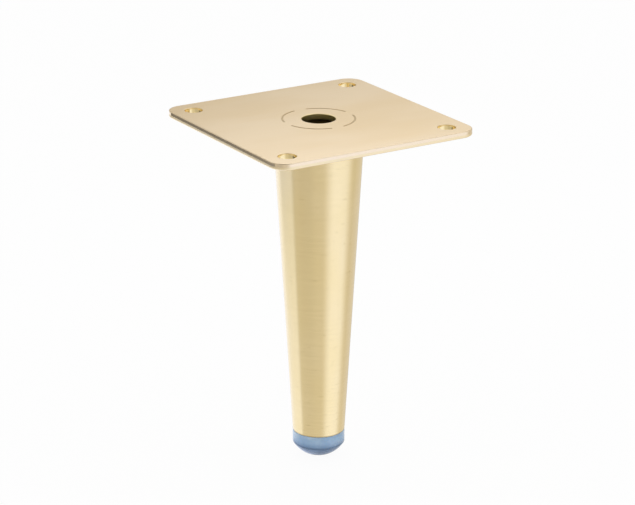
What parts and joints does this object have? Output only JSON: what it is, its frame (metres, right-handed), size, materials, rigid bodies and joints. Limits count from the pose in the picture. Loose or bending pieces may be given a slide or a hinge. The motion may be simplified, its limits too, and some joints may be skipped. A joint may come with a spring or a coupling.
{
  "type": "tapered furniture leg with square mounting plate",
  "caption": "Tapered round metal furniture leg welded under a square screw-on mounting plate, with a domed plastic glide plugged into its foot.",
  "frame": {"origin": "centre of the four screw holes, on the plate's upper face, which meets the furniture", "axes": "+Z out of the plate's upper face, into the furniture, so the leg hangs down along -Z; +X and +Y along the plate's sides"},
  "size_m": [0.1, 0.1, 0.1592],
  "materials": {
    "brushed_brass_plate": "steel sheet with a brass-tone plating, brushed in one direction, satin",
    "brushed_brass_tube": "steel tube with a brass-tone plating, brushed round its axis, satin",
    "weld_metal": "weld seam ground flush and plated over, darker than the plate",
    "blue_grey_plastic": "slightly translucent glossy blue-grey moulding"
  },
  "bodies": {
    "root": {"mounting_plate": "brushed_brass_plate", "leg_tube": "brushed_brass_tube", "seam_welds": "weld_metal", "foot_cap": "blue_grey_plastic"}
  },
  "joints": []
}
